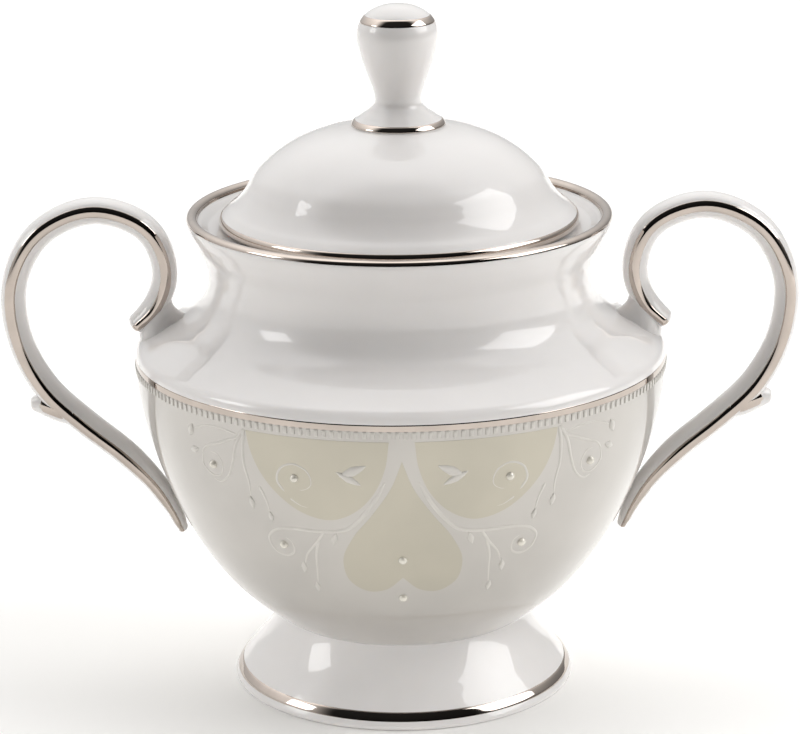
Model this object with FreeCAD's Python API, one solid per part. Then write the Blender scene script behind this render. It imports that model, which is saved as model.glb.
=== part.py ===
import FreeCAD, Part
import math
import os

# Covered two-handled sugar bowl in glazed bone china, millimetres, +Z up.
# Origin: centre of the foot's resting face. The handles lie along the X axis.

Vector = FreeCAD.Vector
AXIS_POINT = Vector(0, 0, 0)
AXIS = Vector(0, 0, 1)

# ---- bowl: heights are stacked from the table up ----
foot_radius = 37.5          # resting edge of the pedestal foot
foot_height = 15.6          # up to the groove where the foot is luted to the bowl
waist_radius = 27.4         # radius of that groove
belly_radius = 57.6         # widest radius, just under the shoulder
belly_rise = 59.0           # from the groove up to the start of the shoulder
shoulder_round = 3.0        # rounding between belly and shoulder
shoulder_slope = 30.0       # degrees above level, just inside the rounding
shoulder_rise = 16.7        # from the start of the shoulder to the narrowest neck
neck_radius = 41.5          # narrowest outside radius of the neck
neck_rise = 14.0            # from the narrowest neck to the top of the lip
lip_flare = 4.4             # how far the lip stands out past the neck
lip_thickness = 2.4
wall = 2.8                  # thickness of the cast walls

# ---- joint between foot and bowl, and the bowl's floor ----
joint_fall = 0.6            # the luted joint falls this much towards its inner edge
underside_fall = 0.2        # the bowl's underside falls this much more to its centre
floor_round = 4.0           # the floor starts to rise this far inside the groove
floor_lift = 1.1            # and has risen this much there

# ---- lid seat in the mouth ----
seat_depth = 2.7            # from the top of the lip down to the seat
seat_flare = 2.4            # from the seat's outer edge out to the lip's inner face
seat_width = 4.5            # level part of the seat
ledge_depth = 2.8           # thickness of the seat's ledge at the mouth
seat_gap = 0.15             # height kept free under the lid's flange

# ---- foot ----
foot_wall = 3.0
foot_edge = 0.8             # upright edge at the bottom of the foot
foot_chamfer = 0.4          # taken off under that edge

# ---- lid ----
lid_gap = 2.45              # radial clearance of the flange inside the seat's outer edge
lid_edge_height = 2.2       # thickness of the flange at its edge
edge_round = 0.7            # rounding of the flange's edge
brim_width = 6.45           # from the lid's edge in to the foot of the dome
dome_height = 21.25         # from the flange's underside to the finial's seat
lid_wall = 2.6
skirt_gap = 0.7             # radial clearance of the locating skirt in the mouth
skirt_wall = 2.4
skirt_depth = 7.5
skirt_cove = 1.5            # width of the cove between skirt and dome, inside

# ---- finial ----
finial_base_radius = 10.1
finial_neck_radius = 4.95
finial_head_radius = 8.75
finial_height = 26.0        # from its seat on the dome to the top

# ---- handles ----
strap_thickness = 5.8       # in the plane of the handle
strap_width = 7.6           # across that plane
ridge_share = 0.08          # how far the side ridge sits towards the outer face

# ---- fired-on decoration ----
band_skin = 0.25            # thickness of the platinum
band_gap = 0.05             # bare glaze between a band and the next edge or border
enamel_skin = 0.35          # height of the raised enamel
shoulder_band_width = 1.5
foot_band_low = 1.9         # lower edge of the foot's band
foot_band_width = 1.6
collar_band_width = 1.1     # round the finial's base
crown_band_low = 22.2       # from the finial's seat up to the band round its head
crown_band_width = 1.3
line_width = 1.7            # platinum line along a handle's side ridge
line_sink = 0.35            # how far the line's back lies inside the ridge
dentil_count = 216
dentil_height = 1.4
dentil_fill = 0.55          # share of the pitch that a block takes
pearl_radius = 0.95

# ---- worked out from the above ----
shoulder_height = foot_height + belly_rise
neck_height = shoulder_height + shoulder_rise
rim_height = neck_height + neck_rise
lip_radius = neck_radius + lip_flare
lip_round = lip_thickness / 2
lip_height = rim_height - lip_round
lip_centre = lip_radius - lip_round
seat_height = rim_height - seat_depth
seat_radius = lip_radius - lip_thickness - seat_flare
mouth_radius = seat_radius - seat_width
flange_height = seat_height + seat_gap
lid_edge_radius = seat_radius - lid_gap
dome_radius = lid_edge_radius - brim_width
lid_top = flange_height + dome_height
skirt_outer = mouth_radius - skirt_gap
skirt_inner = skirt_outer - skirt_wall
skirt_low = flange_height - skirt_depth

PARTS = {}


def between(a, b, share):
    return a + (b - a) * share


def spline(points, start=None, end=None):
    """Smooth curve in the XZ plane through (radius, height) points."""
    vectors = [Vector(r, 0, z) for r, z in points]
    lengths = [0.0]
    for before, after in zip(vectors, vectors[1:]):
        lengths.append(lengths[-1] + before.distanceToPoint(after))
    curve = Part.BSplineCurve()
    if start and end:
        curve.interpolate(Points=vectors, Parameters=lengths, Scale=False,
                          InitialTangent=Vector(start[0], 0, start[1]).normalize(),
                          FinalTangent=Vector(end[0], 0, end[1]).normalize())
    else:
        curve.interpolate(Points=vectors, Parameters=lengths)
    return curve


def spaced(corner_a, corner_b, shares):
    """Points placed by (radius share, height share) in the box between two corners."""
    return [(between(corner_a[0], corner_b[0], r), between(corner_a[1], corner_b[1], z)) for r, z in shares]


def line(a, b):
    return Part.LineSegment(Vector(a[0], 0, a[1]), Vector(b[0], 0, b[1])).toShape()


def polyline(*points):
    return [line(a, b) for a, b in zip(points, points[1:])]


def arc(a, middle, b):
    points = [Vector(p[0], 0, p[1]) for p in (a, middle, b)]
    return Part.Arc(*points).toShape()


def on_circle(centre, radius, angle):
    return (centre[0] + radius * math.cos(angle), centre[1] + radius * math.sin(angle))


def outline(edges):
    return Part.Face(Part.Wire(Part.__sortEdges__(edges)))


def outward(solid):
    if solid.Volume < 0:
        solid.reverse()
    return solid


def turned(edges):
    """Solid of revolution of a closed outline."""
    return outward(outline(edges).revolve(AXIS_POINT, AXIS, 360))


def beside(curve, u, distance):
    """Point beside the curve, to the left of its direction of travel."""
    point = curve.value(u)
    along = curve.tangent(u)[0]
    return (point.x - along.z * distance, point.z + along.x * distance)


def offset_points(curve, distance, count, first=None, last=None):
    start = curve.FirstParameter if first is None else first
    stop = curve.LastParameter if last is None else last
    return [beside(curve, between(start, stop, i / (count - 1)), distance) for i in range(count)]


def parameter_at(curve, height):
    """Parameter where a curve that only rises or only falls passes a height."""
    low, high = curve.FirstParameter, curve.LastParameter
    rising = curve.value(high).z > curve.value(low).z
    for _ in range(60):
        middle = (low + high) / 2
        if (curve.value(middle).z < height) == rising:
            low = middle
        else:
            high = middle
    return (low + high) / 2


def skin_on(curve, height_a, height_b, thickness, side):
    """Closed outline of a thin layer on the curve between two heights."""
    ua, ub = parameter_at(curve, height_a), parameter_at(curve, height_b)
    outer = offset_points(curve, side * thickness, 9, ua, ub)
    ends = [curve.value(ua), curve.value(ub)]
    return [curve.toShape(min(ua, ub), max(ua, ub)), spline(outer).toShape(),
            line((ends[0].x, ends[0].z), outer[0]), line((ends[1].x, ends[1].z), outer[-1])]


# ---- bowl ----
belly_foot = (waist_radius, foot_height)
belly_top = (belly_radius, shoulder_height)
belly = spline([belly_foot]
               + spaced(belly_foot, belly_top, [(0.132, 0.049), (0.346, 0.147), (0.589, 0.314),
                                                (0.772, 0.500), (0.904, 0.685), (0.982, 0.865)])
               + [belly_top], (1.7, 1.0), (0, 1.0))

slope = math.radians(shoulder_slope)
round_centre = (belly_radius - shoulder_round, shoulder_height)
round_end = math.pi / 2 - slope
shoulder_start = on_circle(round_centre, shoulder_round, round_end)
neck_foot = (neck_radius, neck_height)
shoulder = spline([shoulder_start]
                  + spaced((neck_radius, shoulder_start[1]), (shoulder_start[0], neck_height),
                           [(0.637, 0.231), (0.336, 0.399), (0.130, 0.587), (0.027, 0.797)])
                  + [neck_foot], (-math.cos(slope), math.sin(slope)), (0, 1.0))
neck_top = (lip_radius, lip_height)
neck = spline([neck_foot] + spaced(neck_foot, neck_top, [(0.18, 0.339), (0.648, 0.685)]) + [neck_top],
              (0, 1.0), (0, 1.0))
outer_edges = [
    belly.toShape(),
    arc(belly_top, on_circle(round_centre, shoulder_round, round_end / 2), shoulder_start),
    shoulder.toShape(),
    neck.toShape(),
]

joint_inner = (waist_radius - foot_wall, foot_height - joint_fall)
underside_centre = (0, joint_inner[1] - underside_fall)
underside_edges = polyline(belly_foot, joint_inner, underside_centre)

lip_inner = (lip_radius - lip_thickness, lip_height)
lip_edge = arc(neck_top, (lip_centre, rim_height), lip_inner)
seat_outer = (seat_radius, seat_height)
seat_bend = (between(seat_radius, lip_inner[0], 0.42), between(seat_height, lip_height, 0.5))
neck_inner = (neck_radius - wall, neck_height)
floor_centre = (0, underside_centre[1] + wall)
inside = spline([neck_inner]
                + offset_points(shoulder, wall, 5)[3:0:-1]
                + offset_points(belly, wall, 9)[7:0:-1]
                + [(waist_radius - floor_round, floor_centre[1] + floor_lift), floor_centre],
                (0, -1.0), (-1.0, 0))
seat_edges = polyline(seat_outer, (mouth_radius, seat_height), (mouth_radius, seat_height - ledge_depth),
                      neck_inner)
PARTS["bowl_body"] = turned(
    outer_edges + underside_edges + [lip_edge, arc(lip_inner, seat_bend, seat_outer), inside.toShape()]
    + seat_edges + polyline(floor_centre, underside_centre))

# The full outside of the bowl, used to trim what is luted to it.
bowl_blank = turned(outer_edges + underside_edges + polyline(neck_top, (0, lip_height), underside_centre))


def wall_at(height):
    """Outside radius of the belly at a height, and the widest radius anywhere above it."""
    return belly.value(parameter_at(belly, min(height, shoulder_height))).x


# ---- foot ----
foot_shape = [(0.150, 0.797), (0.386, 0.553), (0.683, 0.316), (0.911, 0.115)]
foot_bottom = (foot_radius, foot_edge)
foot_curve = spline([belly_foot] + spaced((waist_radius, foot_edge), (foot_radius, foot_height), foot_shape)
                    + [foot_bottom], (0.38, -1.0), (0.45, -1.0))
ring_outer = (foot_radius - foot_chamfer, 0)
ring_inner = (foot_radius - foot_wall - foot_chamfer, 0)
foot_inside = spline([ring_inner]
                     + spaced((joint_inner[0], 0), (ring_inner[0], joint_inner[1]), foot_shape[::-1])
                     + [joint_inner])
PARTS["pedestal_foot"] = turned([foot_curve.toShape(), foot_inside.toShape()]
                                + polyline(foot_bottom, ring_outer, ring_inner)
                                + polyline(belly_foot, joint_inner))

# ---- lid ----
edge_low = (lid_edge_radius - edge_round * 1.5, flange_height)
edge_top = (lid_edge_radius - edge_round, flange_height + lid_edge_height + 0.3)
edge_middle = (lid_edge_radius, flange_height + lid_edge_height * 0.5)
edge_turn = (lid_edge_radius - edge_round * 0.3, flange_height + lid_edge_height * 0.85)
edge_curve = spline([edge_low, edge_middle, edge_turn, edge_top])
crown_edge = (finial_base_radius, lid_top)
dome = spline([edge_top]
              + spaced((dome_radius, edge_top[1]), (edge_top[0], lid_top),
                       [(0.817, 0.048), (0.609, 0.099), (0.400, 0.163), (0.191, 0.243)])
              + spaced((finial_base_radius, edge_top[1]), (dome_radius, lid_top),
                       [(1.0, 0.339), (0.939, 0.456), (0.844, 0.571), (0.724, 0.685),
                        (0.557, 0.803), (0.303, 0.92)])
              + [crown_edge])
dome_inside = [point for point in offset_points(dome, lid_wall, 15) if point[0] < skirt_inner - skirt_cove]
skirt_head = (skirt_inner, flange_height)
under_crown = (0, lid_top - lid_wall)
inner_dome = spline([skirt_head] + dome_inside[1:-1] + [under_crown], (0, 1.0), (-1.0, 0))
PARTS["lid_dome"] = turned(
    [edge_curve.toShape(), dome.toShape(), inner_dome.toShape()]
    + polyline(crown_edge, (0, lid_top), under_crown)
    + polyline(skirt_head, (skirt_inner, skirt_low), (skirt_outer, skirt_low),
               (skirt_outer, flange_height), edge_low))

# ---- finial: shares of the way from its neck out to its base, out to its head, and of its height ----
finial_shape = [
    (0.90, 0.0, 0.038), (0.63, 0.0, 0.077), (0.18, 0.0, 0.145), (0.03, 0.0, 0.178),
    (0.0, 0.0, 0.225), (0.0, 0.09, 0.275), (0.0, 0.345, 0.375), (0.0, 0.67, 0.51),
    (0.0, 0.89, 0.645), (0.0, 1.0, 0.748), (0.0, 0.94, 0.803), (0.0, 0.59, 0.898), (0.0, -0.27, 0.978),
]


def finial_point(base, head, rise):
    radius = finial_neck_radius + base * (finial_base_radius - finial_neck_radius)
    radius += head * (finial_head_radius - finial_neck_radius)
    return (radius, lid_top + rise * finial_height)


finial_top = (0, lid_top + finial_height)
finial_curve = spline([crown_edge] + [finial_point(*shares) for shares in finial_shape] + [finial_top],
                      (0, 1.0), (-1.0, 0))
PARTS["lid_finial"] = turned([finial_curve.toShape()] + polyline(finial_top, (0, lid_top), crown_edge))

# ---- platinum bands, each a thin layer on the curve under it ----


def band(curve, low, width, side=-1):
    return turned(skin_on(curve, low, low + width, band_skin, side))


band_low = shoulder_height - shoulder_band_width
edge_band_width = edge_top[1] - flange_height - 4 * band_gap
PARTS["shoulder_band"] = band(belly, band_low, shoulder_band_width)
PARTS["foot_band"] = band(foot_curve, foot_band_low, foot_band_width, 1)
PARTS["finial_collar_band"] = band(finial_curve, lid_top + band_gap, collar_band_width)
PARTS["finial_crown_band"] = band(finial_curve, lid_top + crown_band_low, crown_band_width)
PARTS["lid_edge_band"] = band(edge_curve, flange_height + 3 * band_gap, edge_band_width)

lip_skin = lip_round + band_skin
PARTS["rim_band"] = turned(
    [lip_edge, arc((lip_centre + lip_skin, lip_height), (lip_centre, rim_height + band_skin),
                   (lip_centre - lip_skin, lip_height))]
    + polyline(neck_top, (lip_centre + lip_skin, lip_height))
    + polyline(lip_inner, (lip_centre - lip_skin, lip_height)))

# ---- raised dentil border under the shoulder band ----
pitch = 360.0 / dentil_count
dentil_top = band_low - band_gap
block_face = outline(skin_on(belly, dentil_top - dentil_height, dentil_top, enamel_skin, -1))
block = block_face.revolve(AXIS_POINT, AXIS, pitch * dentil_fill)
blocks = []
for index in range(dentil_count):
    copy = block.copy()
    copy.rotate(AXIS_POINT, AXIS, index * pitch)
    blocks.append(copy)
PARTS["dentil_border"] = Part.makeCompound(blocks)

# ---- handles: a C-scroll strap, its curled root, its thumb spur and its tail ----
# Places on a handle are (out from the belly's wall, up from the start of the shoulder).


def place(out, up):
    height = shoulder_height + up
    return (wall_at(height) + out, height)


# Centre line of the strap, then its share of the full thickness and of the full width.
strap_line = [
    (-0.1, 6.0, 0.72, 0.82), (-3.4, 8.9, 0.93, 0.95), (-6.8, 17.0, 0.97, 1.0), (-3.7, 26.3, 1.0, 1.0),
    (8.0, 31.2, 1.03, 1.0), (20.3, 26.0, 1.02, 1.0), (25.9, 15.4, 0.97, 1.0), (25.3, 3.4, 0.95, 1.0),
    (20.5, -8.1, 1.03, 1.0), (13.5, -16.6, 0.98, 1.0), (7.4, -23.6, 0.95, 1.0), (3.5, -31.6, 0.78, 0.90),
    (3.4, -39.4, 0.52, 0.66), (4.0, -42.0, 0.30, 0.42),
]
# Section of the strap in shares of its thickness and width, outer face first, ridge at full width.
section_shape = [(0.5, 0.0), (0.40, 0.30), (ridge_share, 0.5), (-0.36, 0.32), (-0.5, 0.0),
                 (-0.36, -0.32), (ridge_share, -0.5), (0.40, -0.30)]
# The block under the curl that spreads onto the shoulder: place, direction across the block,
# length that way and width.
root_stations = [(-4.6, 10.2, (1.0, -0.10), 6.4, 6.8), (-4.8, 6.7, (0.95, -0.31), 10.8, 7.2),
                 (-6.2, 4.6, (0.838, -0.545), 12.4, 8.6), (-7.6, 2.4, (0.838, -0.545), 13.2, 9.6)]
# The leaf-shaped spur where the lower scroll springs from the upper one.
spur_stations = [(17.1, -14.0, (0.10, 0.98), 6.0, 6.4), (20.4, -12.9, (0.10, 0.98), 6.3, 5.6),
                 (22.8, -12.2, (0.10, 0.98), 4.8, 4.4), (24.1, -12.0, (0.10, 0.98), 2.6, 2.8)]


def on_section(centre, direction, out, side):
    """Point out along the direction, a unit (x, z) that points out of the C, and to one side."""
    return Vector(centre[0] + direction[0] * out, side, centre[1] + direction[1] * out)


def section(centre, direction, thickness, width):
    """Closed wire across the strap."""
    points = [on_section(centre, direction, out * thickness, side * width) for out, side in section_shape]
    curve = Part.BSplineCurve()
    curve.interpolate(Points=points, PeriodicFlag=True)
    return Part.Wire([curve.toShape()])


def lofted(wires):
    return outward(Part.makeLoft(wires, True, False))


def block_of(stations):
    return lofted([section(place(out, up), direction, length, width)
                   for out, up, direction, length, width in stations])


centre_line = spline([place(out, up) for out, up, _, _ in strap_line])
knots = centre_line.getKnots()
strap_stations = []
for index in range(2 * len(strap_line) - 1):
    low, high = index // 2, (index + 1) // 2
    u = (knots[low] + knots[high]) / 2
    along = centre_line.tangent(u)[0]
    thickness = strap_thickness * (strap_line[low][2] + strap_line[high][2]) / 2
    width = strap_width * (strap_line[low][3] + strap_line[high][3]) / 2
    centre = centre_line.value(u)
    strap_stations.append(((centre.x, centre.z), (-along.z, along.x), thickness, width))
strap = lofted([section(*station) for station in strap_stations])

right_handle = strap.fuse([block_of(root_stations), block_of(spur_stations)]).cut(bowl_blank)
PARTS["handle_right"] = right_handle
PARTS["handle_left"] = right_handle.mirror(AXIS_POINT, Vector(1, 0, 0))

# ---- platinum line along the side ridge of each handle, front and back ----


def ridge_line(side):
    wires = []
    for centre, direction, thickness, width in strap_stations[:-2]:
        ridge = ridge_share * thickness
        half = line_width * width / strap_width / 2
        low = side * (width / 2 - line_sink)
        high = side * (width / 2 + band_skin)
        corners = [on_section(centre, direction, ridge + out, y)
                   for out, y in ((-half, low), (half, low), (half, high), (-half, high))]
        wires.append(Part.makePolygon(corners + corners[:1]))
    return lofted(wires)


right_lines = Part.makeCompound([ridge_line(1), ridge_line(-1)])
PARTS["handle_line_right"] = right_lines
PARTS["handle_line_left"] = right_lines.mirror(AXIS_POINT, Vector(1, 0, 0))

# ---- raised enamel pearls on the belly, the same group on the front and on the back ----
# Angle from the middle of the group, and drop from the start of the shoulder.
pearl_places = [(0, 31.4), (0, 41.6), (23, 12.8), (-23, 12.8), (29, 29.6), (-29, 29.6),
                (44, 13.4), (-44, 13.4)]
pearls = []
for middle in (-90, 90):
    for angle, drop in pearl_places:
        height = shoulder_height - drop
        turn = math.radians(middle + angle)
        spot = on_circle((0, 0), wall_at(height), turn)
        pearls.append(Part.makeSphere(pearl_radius, Vector(spot[0], spot[1], height)).cut(bowl_blank))
PARTS["pearl_beads"] = Part.makeCompound([solid for pearl in pearls for solid in pearl.Solids])

os.makedirs("parts", exist_ok=True)
for name, shape in PARTS.items():
    shape.exportStep("parts/" + name + ".step")
    print(name, len(shape.Solids), shape.isValid(), round(shape.Volume, 1))
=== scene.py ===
"""Covered sugar bowl in glazed bone china: platinum bands, a lustre ground and raised white enamel.

Outlines are in millimetres from the bowl's axis and from the table, and MM turns them to metres.
"""
import bisect
import math

import bmesh
import bpy
from mathutils import Matrix, Vector
from mathutils.geometry import interpolate_bezier


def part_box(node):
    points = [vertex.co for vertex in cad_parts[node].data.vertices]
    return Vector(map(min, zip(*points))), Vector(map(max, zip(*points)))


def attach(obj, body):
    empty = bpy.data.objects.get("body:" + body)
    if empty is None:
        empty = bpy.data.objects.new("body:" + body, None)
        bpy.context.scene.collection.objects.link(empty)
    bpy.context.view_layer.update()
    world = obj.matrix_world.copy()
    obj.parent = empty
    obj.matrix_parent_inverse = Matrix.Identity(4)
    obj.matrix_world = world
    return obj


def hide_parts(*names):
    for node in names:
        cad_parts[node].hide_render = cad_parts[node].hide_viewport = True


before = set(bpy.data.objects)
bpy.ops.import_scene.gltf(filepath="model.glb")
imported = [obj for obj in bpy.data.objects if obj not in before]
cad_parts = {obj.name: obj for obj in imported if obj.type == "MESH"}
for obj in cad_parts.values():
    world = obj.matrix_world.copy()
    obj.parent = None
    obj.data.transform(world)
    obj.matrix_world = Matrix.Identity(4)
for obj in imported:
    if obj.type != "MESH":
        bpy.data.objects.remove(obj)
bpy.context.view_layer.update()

bl_info = {
    "name": "Banded Sugar Bowl",
    "version": (1, 0, 0),
    "blender": (4, 5, 0),
    "location": "3D View > Sidebar > Sugar Bowl",
    "description": "Makes a covered bone china sugar bowl with platinum bands and raised enamel",
    "category": "Add Mesh",
}

MM = 0.001
RIM_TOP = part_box("bowl_body")[1].z / MM
LID_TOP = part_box("lid_finial")[0].z / MM
KNOB_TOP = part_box("lid_finial")[1].z / MM
BAND_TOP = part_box("shoulder_band")[1].z / MM
BAND_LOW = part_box("shoulder_band")[0].z / MM
DENTIL_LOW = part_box("dentil_border")[0].z / MM
FOOT_BAND = [corner.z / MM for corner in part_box("foot_band")]
COLLAR_BAND = [corner.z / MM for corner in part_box("finial_collar_band")]
CROWN_BAND = [corner.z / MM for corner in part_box("finial_crown_band")]
FOOT_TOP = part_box("pedestal_foot")[1].z / MM


def linear(code):
    """Linear RGB of an sRGB hex colour such as #F2EFEA."""
    shares = [int(code[i:i + 2], 16) / 255 for i in (1, 3, 5)]
    return tuple(c / 12.92 if c <= 0.04045 else ((c + 0.055) / 1.055) ** 2.4 for c in shares)


# ---- sizes and colours that a user would change ----


class BowlSizes(bpy.types.PropertyGroup):
    """Sizes of the finishing layers and how finely round pieces are turned."""
    steps: bpy.props.IntProperty(
        name="Turning steps", description="Faces round each turned piece", default=192, min=48, max=360)
    platinum: bpy.props.FloatProperty(
        name="Platinum thickness", description="How far a platinum band stands off the glaze",
        default=0.09 * MM, unit="LENGTH", precision=5)
    lustre: bpy.props.FloatProperty(
        name="Lustre thickness", description="How far the lustre stands off the white china",
        default=0.05 * MM, unit="LENGTH", precision=5)
    line_width: bpy.props.FloatProperty(
        name="Handle line width", description="Width of the platinum line on each side of a handle",
        default=2.4 * MM, unit="LENGTH", precision=4)
    enamel_height: bpy.props.FloatProperty(
        name="Enamel height", description="How far a trailed enamel line stands off the belly",
        default=0.25 * MM, unit="LENGTH", precision=5)
    dentils: bpy.props.IntProperty(
        name="Dentil blocks", description="Blocks in the border under the shoulder band",
        default=216, min=60, max=400)
    pearl: bpy.props.FloatProperty(
        name="Pearl radius", description="Radius of each raised pearl", default=0.95 * MM,
        unit="LENGTH", precision=4)


class BowlColours(bpy.types.PropertyGroup):
    """Colours of the china, its metal and its enamels."""
    china: bpy.props.FloatVectorProperty(
        name="Bone china", description="White body under clear glaze", subtype="COLOR",
        default=linear("#E6E3E1"))
    platinum: bpy.props.FloatVectorProperty(
        name="Platinum", description="Burnished platinum", subtype="COLOR",
        default=linear("#C2B7AE"))
    ground: bpy.props.FloatVectorProperty(
        name="Lustre ground", description="Warm grey lustre of the belly", subtype="COLOR",
        default=linear("#C5C1BB"))
    cream: bpy.props.FloatVectorProperty(
        name="Cream lustre", description="Hearts and drops laid on the ground", subtype="COLOR",
        default=linear("#BEB8A8"))
    enamel: bpy.props.FloatVectorProperty(
        name="White enamel", description="Trailed lines and border blocks", subtype="COLOR",
        default=linear("#CECAC3"))
    pearl: bpy.props.FloatVectorProperty(
        name="Pearl enamel", description="Raised pearls", subtype="COLOR", default=linear("#E4DFD3"))


def sizes():
    """The scene's sizes of the finishing layers."""
    return bpy.context.scene.bowl_sizes


def colours():
    """The scene's colours of the china, its metal and its enamels."""
    return bpy.context.scene.bowl_colours


# ---- curves and outlines ----


def smooth(points, per_span=8, start=None, end=None):
    """Points on the even curve through (across, up) points, in the XZ plane; start and end are headings."""
    spots = [Vector((across, 0.0, up)) for across, up in points]
    gaps = [(b - a).length for a, b in zip(spots, spots[1:])]
    headings = []
    for i, spot in enumerate(spots):
        before = (spot - spots[i - 1]) / gaps[i - 1] if i else None
        after = (spots[i + 1] - spot) / gaps[i] if i < len(gaps) else None
        if before is None:
            heading = Vector((start[0], 0.0, start[1])).normalized() if start else after
        elif after is None:
            heading = Vector((end[0], 0.0, end[1])).normalized() if end else before
        else:
            heading = (before * gaps[i] + after * gaps[i - 1]) / (gaps[i - 1] + gaps[i])
        headings.append(heading)
    line = []
    for i, gap in enumerate(gaps):
        line += interpolate_bezier(spots[i], spots[i] + headings[i] * gap / 3,
                                   spots[i + 1] - headings[i + 1] * gap / 3, spots[i + 1],
                                   per_span + 1)[:-1]
    return line + [spots[-1]]


def arc(centre, radius, first, last, steps):
    """Points on an arc, angles in degrees from level outward."""
    turns = [math.radians(first + (last - first) * i / steps) for i in range(steps + 1)]
    return [Vector((centre[0] + radius * math.cos(t), 0.0, centre[1] + radius * math.sin(t)))
            for t in turns]


def corner(across, up):
    """A single point of an outline."""
    return [Vector((across, 0.0, up))]


def tidy_line(line):
    """The same points with repeats dropped."""
    kept = [line[0]]
    for point in line[1:]:
        if (point - kept[-1]).length > 0.004:
            kept.append(point)
    return kept


def between_heights(line, low, high, count=14):
    """Evenly spread points on a line that climbs, from one height to another."""
    heights = [point.z for point in line]
    found = []
    for i in range(count + 1):
        height = low + (high - low) * i / count
        k = min(max(bisect.bisect(heights, height) - 1, 0), len(line) - 2)
        share = (height - heights[k]) / (heights[k + 1] - heights[k])
        found.append(line[k].lerp(line[k + 1], share))
    return found


def pushed_out(line, lifts):
    """The climbing line moved outward at right angles to itself, by one lift for each point."""
    moved = []
    for i, point in enumerate(line):
        along = (line[min(i + 1, len(line) - 1)] - line[max(i - 1, 0)]).normalized()
        moved.append(point + Vector((along.z, 0.0, -along.x)) * lifts[i])
    return moved


# ---- outlines of the china, each climbing from its foot ----

BELLY_SPAN = 10         # points in each span of the outline
SHOULDER_SPAN = 9
BELLY = smooth([(27.4, FOOT_TOP), (28.9, 16.5), (31.4, 18.5), (37.85, 24.25), (45.2, 34.1), (50.7, 45.1),
                (54.7, 56.0), (57.05, 66.6), (57.6, BAND_TOP)], BELLY_SPAN, (1.7, 1.0), (0, 1))
SHOULDER_ROUND = arc((54.6, BAND_TOP), 3.0, 0, 60, 8)
SHOULDER = smooth([(56.1, BAND_TOP + 2.6), (50.8, 80.45), (46.4, 82.8), (43.4, 85.4), (41.9, 88.4),
                   (41.5, 91.3), (42.29, 95.64), (44.35, 100.07), (45.9, RIM_TOP - 1.2)],
                  SHOULDER_SPAN, (-math.cos(math.radians(30)), 0.5), (0.1, 1))
LIP = arc((44.7, RIM_TOP - 1.2), 1.2, 0, 180, 12)
FOOT = smooth([(37.5, 0.9), (36.6, 2.5), (34.3, 5.48), (31.3, 8.98), (28.9, 12.6), (27.4, FOOT_TOP)],
              9, (-0.45, 1.0), (-0.38, 1.0))
DOME = smooth([(37.95, 105.25), (36.9, 106.15), (35.7, 107.1), (34.5, 108.3), (33.3, 109.8),
               (32.2, 111.6), (30.85, 113.8), (28.75, 115.96), (26.1, 118.1), (22.4, 120.3),
               (16.8, 122.5), (10.1, LID_TOP)], 8)
LID_EDGE = smooth([(37.6, 102.75), (38.4, 103.1), (38.65, 103.85), (38.44, 104.62), (37.95, 105.25)], 6,
                  (1, 0.1), (-0.72, 0.62))
KNOB = smooth([(10.1, LID_TOP), (9.6, 125.0), (8.2, 126.05), (5.95, 127.7), (5.10, 128.7), (4.95, 129.85),
               (5.29, 131.5), (6.26, 134.2), (7.5, 137.8), (8.33, 140.8), (8.75, 143.4), (8.52, 145.0),
               (7.19, 147.35), (4.1, 149.35), (0.0, KNOB_TOP)], 8, (0, 1), (-1, 0))

WALL = 2.8              # thickness of the cast bowl, in millimetres
LID_WALL = 2.6
LAYER_BACK = 0.04       # how far the back of a fired layer lies inside the china, in millimetres


def belly_at(height):
    """Radius of the belly at a height, in millimetres."""
    return between_heights(BELLY, height, height + 1, 1)[0].x


def on_belly(degrees, height, lift):
    """Place on the belly, turned from the middle of the front, lifted off the surface, in metres."""
    low, high = between_heights(BELLY, max(height - 0.4, FOOT_TOP), min(height + 0.4, BAND_TOP), 1)
    along = (high - low).normalized()
    radius = belly_at(height) + along.z * lift
    turn = math.radians(degrees) - math.pi / 2
    return Vector((radius * math.cos(turn), radius * math.sin(turn), height - along.x * lift)) * MM


# ---- making pieces ----


def piece_from(name, mesh, finish, body, replaced=(), smooth_angle=40):
    """A finished object from a bmesh: shaded smooth, given its finish, and riding on its body."""
    data = bpy.data.meshes.new(name)
    mesh.to_mesh(data)
    mesh.free()
    piece = bpy.data.objects.new(name, data)
    bpy.context.scene.collection.objects.link(piece)
    data.shade_smooth()
    if smooth_angle:
        data.set_sharp_from_angle(angle=math.radians(smooth_angle))
    data.materials.append(finish)
    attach(piece, body)
    if replaced:
        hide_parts(*replaced)
    return piece


def turned(outline, closed=True):
    """Mesh turned from an outline round the bowl's axis; an open outline starts and ends on the axis."""
    mesh = bmesh.new()
    line = tidy_line(outline)
    ring = [mesh.verts.new(point * MM) for point in line]
    pairs = list(zip(ring, ring[1:])) + ([(ring[-1], ring[0])] if closed else [])
    edges = [mesh.edges.new(pair) for pair in pairs]
    bmesh.ops.spin(mesh, geom=ring + edges, cent=(0, 0, 0), axis=(0, 0, 1), dvec=(0, 0, 0),
                   angle=math.tau, steps=sizes().steps, use_merge=True, use_duplicate=False)
    bmesh.ops.remove_doubles(mesh, verts=mesh.verts, dist=0.001 * MM)
    bmesh.ops.recalc_face_normals(mesh, faces=mesh.faces)
    return mesh


def layer(line, thickness):
    """Outline of a thin fired layer on a climbing line: softly domed, its back a little inside."""
    count = len(line) - 1
    lifts = [thickness * (1 - (2 * i / count - 1) ** 6) for i in range(count + 1)]
    return pushed_out(line, lifts) + pushed_out(line, [-LAYER_BACK] * (count + 1))[::-1]


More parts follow.
